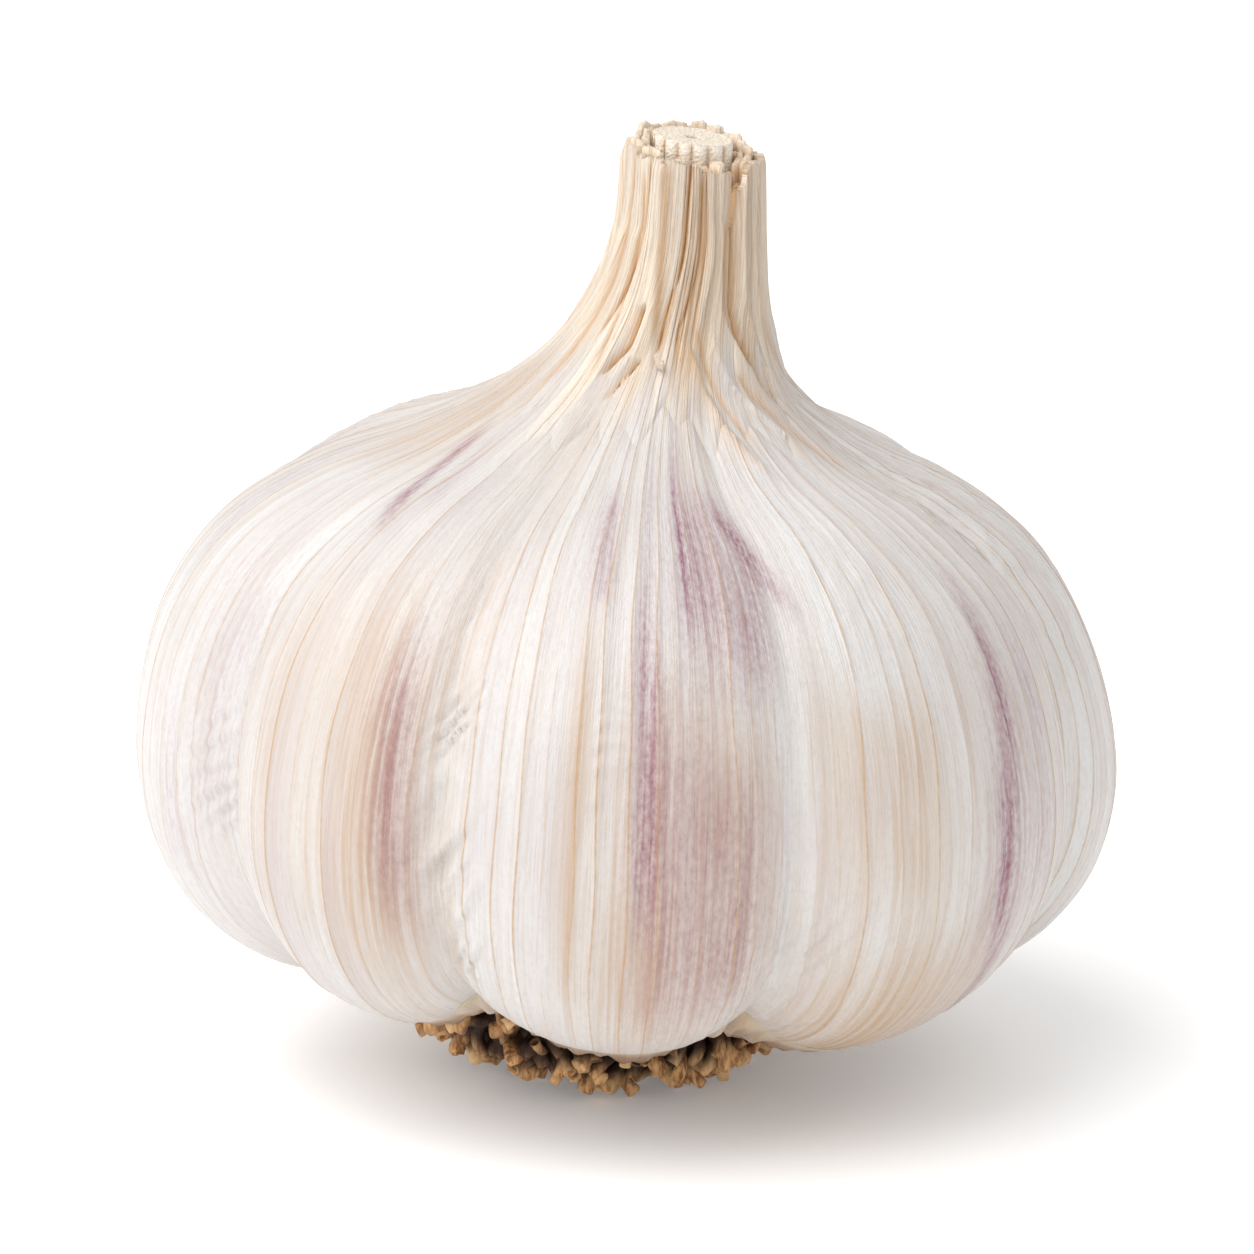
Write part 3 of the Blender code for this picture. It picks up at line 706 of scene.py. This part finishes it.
def relief_and_marks(veins, azimuth, band, across, share):
    """What the skin and the sheath share: the relief of veins, pleats and folds, and where colours lie."""
    flat = unrolled(azimuth, share)
    radius, height = meridian(share)
    narrowing = radius / BELLY
    height = height / MM
    strength = veins.strength[band] * (across == 0)
    ridge = 0.05 * strength * (0.3 + 0.7 * narrowing)
    pleat = veins.sag[band] * 4 * across * (1 - across) * narrowing
    relief = MM * (ridge - pleat)
    relief = relief + 0.11 * MM * wavy(flat * (1, 1, 0.15), 0.3) * narrowing
    relief = relief + 0.16 * MM * wavy(flat * (1, 1, 0.5), 0.12) + 0.035 * MM * wavy(flat * (1, 1, 0.5), 0.6)
    folds, amber = folding(azimuth, share, ALL_FOLDS)

    shoulder = smoothstep((share - 0.68) / 0.14)
    foot = fade(share / 0.28)
    shaded_side = away_from_key(azimuth)
    torn = veins.straw_from[band] - 2.0 * (1 - shaded_side) + 1.5 * wavy(flat * (1, 1, 0.3), 0.25)
    straw = smoothstep((height - torn) / 4.5) * (share > UPPER)
    banded = veins.tint[band] * (0.6 + 0.6 * wavy(flat * (1, 1, 0.3), 0.1))
    tan = 0.06 + banded * (1 - straw) + patches(azimuth, share, TAN) + 0.16 * shoulder
    # Tan towards the foot, strongest on the side away from the key light: painted shade on the low part of
    # the skin.
    tan = tan + (0.25 + 0.3 * shaded_side + 0.3 * foot**3) * foot
    # On the straw-coloured neck, tan on the side away from the key light: partly painted shade, partly the
    # sheath's own browner tan.
    tan = tan + straw * (0.62 * shaded_side - 0.24 + veins.worn[band] + 0.25 * wavy(flat * (1, 1, 0.1), 0.5))
    lilac = veins.lilac[band] * (1 - shoulder) + 0.3 * wavy(flat, 0.08)
    vein = strength * (0.85 + 0.35 * wavy(flat * (1, 1, 0.4), 0.3) + 0.2 * foot + 0.2 * shoulder)
    marks = {
        "tan": np.clip(tan, 0, 1),
        "straw": straw,
        "lilac": np.clip(lilac, 0, 1),
        "purple": streaks(azimuth, share, PURPLE),
        "vein": np.clip(vein, 0, 1) * (1 - 0.5 * straw),
        "groove": amber,
        "grain": flat / MM,
    }
    return relief + folds, marks


def hem(azimuth):
    """The height at which the neck's sheath rises out of the skin."""
    return SHEATH_HEM + HEM_SWAY * (np.sin(5 * azimuth + 1) + np.sin(13 * azimuth) + np.sin(29 * azimuth)) / 3


def skin_rows():
    """Shares of the skin's rows of points."""
    shares = [0.0]
    top = share_at(SKIN_TOP)
    while shares[-1] < top:
        spacing = next(spacing for until, spacing in ROW_SPACING if shares[-1] < until)
        shares.append(shares[-1] + spacing * MM / MERIDIAN_LENGTH)
    return np.array(shares) * top / shares[-1]


def make_skin(veins, material):
    """The papery skin over the cloves, with veins as ridges, soft pleats between and crumpled creases."""
    around, band, across = veins.columns(None, in_crease=6)
    share = skin_rows()[:, None]
    azimuth = around + wander(around, share)
    relief, marks = relief_and_marks(veins, azimuth, band, across, share)
    folds, crumpled = crumpling(azimuth, share)
    _, height = meridian(share)
    under = smoothstep((height - hem(azimuth)) / (2.5 * MM)) * (share > UPPER)
    rings = settle(skin(azimuth, share, relief + folds - 0.5 * MM * under))
    marks["brown"] = np.broadcast_to(0.75 * fade((share - 0.045) / 0.035), azimuth.shape)
    marks["crumple"] = np.clip(2.2 * crumpled, 0, 1)
    points, faces = capped_grid(rings)
    piece("papery_skin", points, faces, with_cap_marks(marks), material, "bulb")


def make_neck_sheath(veins, material):
    """The dry outer sheath: it rises out of the skin, and its strips end in a ragged crown at the cut."""
    around, band, across = veins.columns((0.05, 0.2, 0.5, 0.8, 0.95))
    after = (band + 1) % len(veins.azimuth)
    near, far = (np.clip(1 - distance / 0.25, 0, 1) for distance in (across, 1 - across))
    groove = veins.groove[band] * near + veins.groove[after] * far
    low, high = veins.rise[:, veins.strip[band]]
    lift = low + (high - low) * (veins.place[band] + veins.step[band] * across)
    level = -CUT_TO_LEFT * np.sin(around) - CUT_TO_BACK * np.cos(around)
    torn = veins.cut[band] + 0.8 * lift - 0.8 * groove + draw.uniform(-0.12, 0.12, len(band))
    notch = np.exp(-((turn_between(around, NOTCH_AZIMUTH) / NOTCH_WIDTH) ** 4))
    cut = SHEATH_TOP + level + MM * torn - NOTCH_DEPTH * notch

    row = np.linspace(0, 1, SHEATH_ROWS)[:, None]
    foot = hem(around)
    height = foot + (cut - foot) * row
    share = share_at(height)
    azimuth = around + wander(around, share) + 0.02 * np.sin(9 * row + 5 * around) * row
    relief, marks = relief_and_marks(veins, azimuth, band, across, share)
    full = smoothstep((height - foot - 1.0 * MM) / (6 * MM))
    drift = np.stack(np.broadcast_arrays(2.3 * veins.strip[band], 5 * row, 0.0), axis=-1) * MM
    uneven = 0.8 + 0.7 * wavy(drift, 1.0)
    shaded_side = away_from_key(azimuth)
    ribbed = full * (0.5 + 0.6 * shaded_side) * (lift * (1.3 - 0.3 * uneven) - groove * uneven + 0.04)
    rising = -0.2 + 0.25 * smoothstep((height - foot) / (1.6 * MM)) - 0.25 * full
    off = relief + (ribbed + rising) * MM
    outside = skin(azimuth, share, off)
    rows_inside = np.linspace(SHEATH_ROWS - 1, 0, SHEATH_ROWS_INSIDE).astype(int)
    wall = HEM_THICKNESS + (SHEATH_THICKNESS - HEM_THICKNESS) * full
    inside = skin(azimuth, share, off - wall)[rows_inside]
    rings = settle(np.concatenate([outside, inside]))

    # Painted shade in the sheath's grooves, stronger on the side away from the key light, over the grooves'
    # own tan.
    groove_shade = np.clip(full * (0.4 + 0.8 * shaded_side) * np.maximum(groove * uneven, 0) * 2.2, 0, 0.75)
    marks["groove"] = np.clip(marks["groove"] + groove_shade, 0, 0.95)
    marks = {name: np.concatenate([values, values[rows_inside]]) for name, values in marks.items()}
    # The inner wall is amber throughout: painted warm shade inside the sheath.
    marks["groove"][SHEATH_ROWS + 1 :] = 0.45
    faces = grid_faces(*rings.shape[:2], closed=True)
    made = piece("neck_sheath_ribs", rings, faces, marks, material, "neck_sheath")
    made.data.set_sharp_from_angle(angle=SHARP_EDGE)


def make_tips(material):
    """Small curled tips where the sheath is torn."""
    solids = []
    along, across = np.linspace(0, 1, 12)[:, None], np.linspace(-1, 1, 9)
    for azimuth, height, width, length, rise, turn in TIPS:
        foot = share_at(height * MM)
        radius, _ = meridian(foot)
        half = width / 2 * (1 - along) ** 0.55 + 0.02
        aside = across * half + length * along * math.sin(math.radians(turn))
        share = foot - length * along * MM / MERIDIAN_LENGTH * (1 - 0.25 * along)
        off = -0.5 + 0.5 * along**0.5 + rise * along**1.6 + 0.25 * rise * (np.abs(across) - 0.4) * along
        angle = math.radians(azimuth) + aside / (radius / MM)
        outside, inside = (skin(angle, share, (off - thickness) * MM) for thickness in (0.0, 0.1))
        solids.append(settle(np.concatenate([outside, inside[:, ::-1]], axis=1))[::-1])
    points, faces = joined(solids)
    marks = {
        "grain": points / MM * (3, 3, 0.4),
        "straw": np.full(len(points), 0.9),
        "tan": np.clip(0.35 + 0.3 * wavy(points, 0.6), 0, 1),
    }
    piece("neck_sheath_tips", points, faces, marks, material, "neck_sheath")


def broken_strips(radius, count, top):
    """Rings of points of flat upright strips side by side round the stalk, each broken off at its own
    height, and lower in the sheath's notch."""
    strips = []
    for i in range(count):
        azimuth = math.tau * (i + draw.uniform(-0.2, 0.2)) / count
        end = top + draw.uniform(-0.35, 0.25) * MM - (0.55 * math.cos(azimuth) + 0.5 * math.sin(azimuth)) * MM
        if abs(turn_between(azimuth, NOTCH_AZIMUTH)) < 2 * NOTCH_WIDTH:
            end -= NOTCH_DEPTH
        wide = math.tau * radius / count * draw.uniform(0.9, 1.35)
        thick = INNER_THICKNESS * draw.uniform(0.7, 1.2)
        off = draw.uniform(-0.15, 0.15) * MM
        rings = []
        # How far below the end each ring is, how ragged it is, and its size.
        steps = ((end - INNER_FOOT, 0.0, 1.0), (0.6 * MM, 0.02, 1.0), (0.12 * MM, 0.05, 0.95), (0, 0.12, 0.6))
        for below, ragged, size in steps:
            height = end - below
            jitter = size * (1 + draw.uniform(-1, 1, STRIP_OUTLINE.shape) * (0.08 + ragged))
            across, out = (STRIP_OUTLINE * jitter * (wide, thick) / 2).T
            uneven = draw.uniform(-1, 1, len(STRIP_OUTLINE)) * ragged * MM
            rings.append(round_the_axis(azimuth + across / radius, radius + off + out, height + uneven))
        strips.append(np.array(rings))
    return strips


def joined(solids):
    """Points and faces of several capped grids as one mesh's."""
    points, faces, count = [], [], 0
    for rings in solids:
        own_points, own_faces = capped_grid(rings)
        points.append(own_points)
        faces += [[corner + count for corner in face] for face in own_faces]
        count += len(own_points)
    return np.vstack(points), faces


def make_inner_sheath(material):
    """The inner sheaths: rings of broken strips round the stalk."""
    strips = []
    for radius, count, top in INNER_RINGS:
        strips += broken_strips(radius * MM, count, top * MM)
    points, faces = joined([settle(rings) for rings in strips])
    count = len(points)
    marks = {
        "grain": points / MM * (4, 4, 1),
        "straw": np.ones(count),
        "tan": np.clip(0.1 + 0.3 * wavy(points * (1, 1, 0.2), 0.8), 0, 1),
        # A little amber all over, and more towards the foot of the strips deep inside the neck, where it is
        # painted shade.
        "groove": 0.1 + 0.6 * fade((points[:, 2] - 58.3 * MM) / (2.0 * MM)),
    }
    piece("inner_sheath_fibres", points, faces, marks, material, "inner_sheath")


def make_stalk(material):
    """The flower stalk: fluted sides, and a grainy cut that slopes a little, with its pith's small hollow."""
    around = all_round(STALK_COLUMNS)
    drift = 0.5 * np.sin(2 * around) + 0.3 * np.sin(3 * around + 1)
    flute = np.abs(np.sin(STALK_FLUTES / 2 * around + drift)) ** 0.6
    wall = STALK_RADIUS - FLUTE_DEPTH + FLUTE_DEPTH * flute

    def level(height, reach):
        """The cut's slope, which fades down the sides."""
        return height - STALK_SLOPE * reach * np.sin(around)

    rings, rows = [], []  # in rows, each ring's marks: cut, groove and hollow
    nothing = 0 * around
    for height in np.linspace(STALK_FOOT, STALK_TOP - 0.12 * MM, 24):
        tilt = smoothstep((height - 56 * MM) / (5 * MM))
        rings.append(round_the_axis(around, wall, level(height, wall * tilt)))
        rows.append((nothing, (1 - flute) ** 1.5, nothing))
    for share in np.linspace(0.97, 0.02, 26):
        reach = wall * share + (STALK_RADIUS - wall) * share * (1 - share)
        sunk = PITH_DEPTH * fade((share - 0.08) / 0.14)
        raised = 0.06 * MM * smoothstep((share - 0.8) / 0.17)
        face = round_the_axis(around, reach, level(STALK_TOP - (sunk - raised), reach))
        face[:, 2] += 0.05 * MM * wavy(face, 2.2)
        rings.append(face)
        rows.append((nothing + 1, nothing, nothing + fade((share - 0.1) / 0.1)))
    points, faces = capped_grid(settle(np.array(rings)))
    marks = dict(zip(("cut", "groove", "hollow"), np.moveaxis(rows, 1, 0)))
    made = piece("stalk_cut", points, faces, with_cap_marks(marks), material, "stalk")
    made.data.set_sharp_from_angle(angle=SHARP_EDGE)


def stub(foot, outward, lean, length, radius, hollow):
    """Rings of one trimmed root: a bent, knobbly tube with a blunt or a hollow end."""
    side = np.cross(outward, [0, 0, 1])
    place, heading, sway = np.array(foot), lean, 0.0
    bends, sways = draw.uniform(-0.9, 0.8, 3), draw.uniform(-0.9, 0.9, 3)
    knobs = draw.uniform(0.86, 1.16, 5)
    around = all_round(ROOT_SIDES)
    lobes = 1 + 0.12 * np.sin(2 * around + draw.uniform(0, 6))
    lobes = lobes + 0.07 * np.sin(4 * around + draw.uniform(0, 6))
    end = HOLLOW_END if hollow else BLUNT_END
    body = np.linspace(0, 1, ROOT_STEPS)
    made = []
    for at, back, shrink in [(at, 0.0, 1.0) for at in body] + [(1.0, *step) for step in end]:
        if at > 0 and shrink == 1.0:
            third = min(int(at * 3), 2)
            heading += bends[third] / 3
            sway += sways[third] / 3
            down = outward * math.sin(heading) + side * math.sin(sway) - np.array([0, 0, math.cos(heading)])
            down /= np.linalg.norm(down)
            place = place + down * length / (ROOT_STEPS - 1)
        elif at == 0:
            down = outward * math.sin(heading) - np.array([0, 0, math.cos(heading)])
        first = np.cross(down, side)
        first /= np.linalg.norm(first)
        second = np.cross(down, first)
        reach = radius * shrink * np.interp(at, np.linspace(0, 1, 5), knobs)
        offsets = np.cos(around)[:, None] * first + np.sin(around)[:, None] * second
        made.append(place - back * radius * down + reach * lobes[:, None] * offsets)
    return np.array(made)


def depth_in_bowl(points):
    """How far inside the bowl of the trimmed roots each point is."""
    place = np.stack([np.hypot(points[:, 0], points[:, 1]), points[:, 2]], axis=-1)
    nearest = np.full(len(points), np.inf)
    for start, end in zip(ROOT_BOWL, ROOT_BOWL[1:]):
        side = end - start
        along = np.clip((place - start) @ side / (side @ side), 0, 1)
        nearest = np.minimum(nearest, np.linalg.norm(place - start - along[:, None] * side, axis=1))
    return nearest


def make_roots(material):
    """The root plate and its trimmed roots, the inner ones cut level with what the bulb stands on."""
    around = all_round(PLATE_COLUMNS)
    knobs = 1 + 0.04 * np.sin(7 * around) + 0.03 * np.sin(12 * around + 1) + 0.02 * np.sin(29 * around)
    solids = [np.array([round_the_axis(around, r * MM * knobs, z * MM) for r, z in ROOT_PLATE])]
    for number, (radius, height, count, lean) in enumerate(ROOT_RINGS):
        for i in range(count):
            azimuth = math.tau * (i + 0.5 * (number % 2) + draw.uniform(-0.35, 0.35)) / count
            outward = np.array([math.sin(azimuth), -math.cos(azimuth), 0.0])
            own_lean = math.radians(lean + draw.uniform(-20, 20))
            length = draw.uniform(2.8, 4.0) * MM
            shorter = draw.uniform(0.0, 1.0) ** 2 * 1.1 * MM
            wider = 1.2 * smoothstep((radius - 7) / 4) * max(0.0, -math.sin(azimuth))
            reach = (radius + wider) * MM - (length + shorter) * math.sin(own_lean)
            foot = outward * reach + np.array([0, 0, height * MM + (length + shorter) * math.cos(own_lean)])
            hollow = number > 3 and draw.random() < 0.5
            solids.append(stub(foot, outward, own_lean, length, draw.uniform(0.38, 0.54) * MM, hollow))
    points, faces = joined([settle(rings) for rings in solids])
    counts = [rings.shape[0] * rings.shape[1] + 2 for rings in solids]
    pale = np.concatenate([np.full(count, draw.random() ** 2) for count in counts])
    points += 0.07 * MM * np.stack([wavy(points + offset, 1.1) for offset in (0, 0.1, 0.2)], axis=-1)
    points[:, 2] = np.maximum(points[:, 2], 0.0)
    # deep: painted shade, darker the further a point lies inside the bowl of the root tips.
    deep = smoothstep((depth_in_bowl(points) - 0.5 * MM) / (1.1 * MM))
    marks = {"deep": deep, "pale": pale}
    piece("trimmed_roots", points, faces, marks, material, "root_crown")


def make_base_scales(material):
    """The torn foot of the skins round the roots: a thin brown rim, with pale flaps in the creases."""
    around = all_round(RIM_COLUMNS)
    crease, *_ = clove_shape(around)
    tears = 0.5 * np.sin(13 * around + 2 * np.sin(3 * around))
    tears = tears + 0.3 * np.sin(37 * around) + 0.25 * np.sin(83 * around)
    flap = smoothstep((crease - 0.55) / 0.35)
    in_front = np.exp(-((turn_between(around, 0.0) / math.radians(22)) ** 2))
    row = np.linspace(0, 1, RIM_ROWS)[:, None]
    share = RIM_SHARE + 0.02 * flap + (-RIM_LENGTH - 0.04 * flap + (0.006 + 0.008 * flap) * tears) * row
    off = 0.03 + (0.4 + 0.8 * in_front + 0.18 * tears) * row**1.4
    off = off + (0.2 + 0.45 * flap) * wavy(unrolled(around, share), 0.8) * row
    pleats = np.sin(60 * around + 5 * row + 3 * tears)
    off = off + 0.22 * flap * pleats * smoothstep(row / 0.3)
    creased = 1 - 0.32 * flap * smoothstep(row / 0.6)
    outside, inside = (skin(around, share, (off - wall) * MM, creased) for wall in (0.0, RIM_THICKNESS))
    rings = settle(np.concatenate([outside[::-1], inside]))
    brown = 0.55 - 0.4 * flap + 0.4 * smoothstep((row - 0.8) / 0.2) + 0.25 * tears
    brown = np.clip(brown - 0.3 * flap * np.minimum(pleats, 0), 0, 0.9)
    outer = {
        "tan": np.clip(0.35 + 0.25 * tears + 0.3 * row * (1 - flap), 0, 1),
        "brown": brown * smoothstep((row - 0.15) / 0.5),
        "grain": unrolled(around, share) / MM,
    }
    marks = {name: np.concatenate([values[::-1], values]) for name, values in outer.items()}
    faces = grid_faces(*rings.shape[:2], closed=True)
    piece("base_scales_rim", rings, faces, marks, material, "base_scales")


# ---- floor, light and camera

def make_floor():
    bpy.ops.mesh.primitive_plane_add(size=FLOOR_SIZE)
    floor = bpy.context.object
    floor.name = "floor"
    n = Nodes("floor")
    glow = {"Emission_Color": (1, 1, 1, 1), "Emission_Strength": FLOOR_GLOW}
    floor.data.materials.append(n.finish(Base_Color=srgb(248, 248, 248, 1.0), Roughness=0.8, **glow))


def make_light():
    """A white studio, and one soft square light aimed at the bulb."""
    world = bpy.data.worlds.new("studio")
    world.use_nodes = True
    background = world.node_tree.nodes["Background"]
    background.inputs["Color"].default_value = (1, 1, 1, 1)
    background.inputs["Strength"].default_value = SKY_LIGHT
    bpy.context.scene.world = world
    data = bpy.data.lights.new("key", "AREA")
    data.size = KEY_SIZE
    data.energy = KEY_POWER
    light = in_scene("key", data)
    flat = KEY_DISTANCE * math.cos(KEY_ELEVATION)
    height = KEY_DISTANCE * math.sin(KEY_ELEVATION) + TARGET[2]
    light.location = (flat * math.sin(KEY_AZIMUTH), -flat * math.cos(KEY_AZIMUTH), height)
    light.rotation_euler = (math.pi / 2 - KEY_ELEVATION, 0, KEY_AZIMUTH)
    bpy.context.scene.view_settings.view_transform = "Standard"


def make_camera():
    data = bpy.data.cameras.new("camera")
    data.lens = LENS
    data.sensor_width = 36
    data.clip_start = 0.01
    camera = in_scene("camera", data)
    away = np.array([0, -math.cos(ELEVATION), math.sin(ELEVATION)])
    camera.location = TARGET + DISTANCE * away
    camera.rotation_euler = (math.pi / 2 - ELEVATION, 0, 0)
    bpy.context.scene.camera = camera


make_camera()
make_light()
make_floor()
ALL_FOLDS = FOLDS + more_folds()
the_veins = Veins()
PALE, WARM = srgb(241, 239, 237), srgb(232, 222, 211)
make_skin(the_veins, papery_material("papery_skin", PALE, WARM, roughness=0.39))
dry_sheath = papery_material("dry_sheath", PALE, WARM, roughness=0.39)
make_neck_sheath(the_veins, dry_sheath)
make_tips(dry_sheath)
make_inner_sheath(papery_material("inner_sheath", PALE, WARM, roughness=0.55, straw_light=0.85))
make_stalk(pith_material())
leaf_base = papery_material("leaf_base", srgb(232, 220, 200), srgb(214, 190, 156), roughness=0.6)
make_base_scales(leaf_base)
make_roots(root_material())
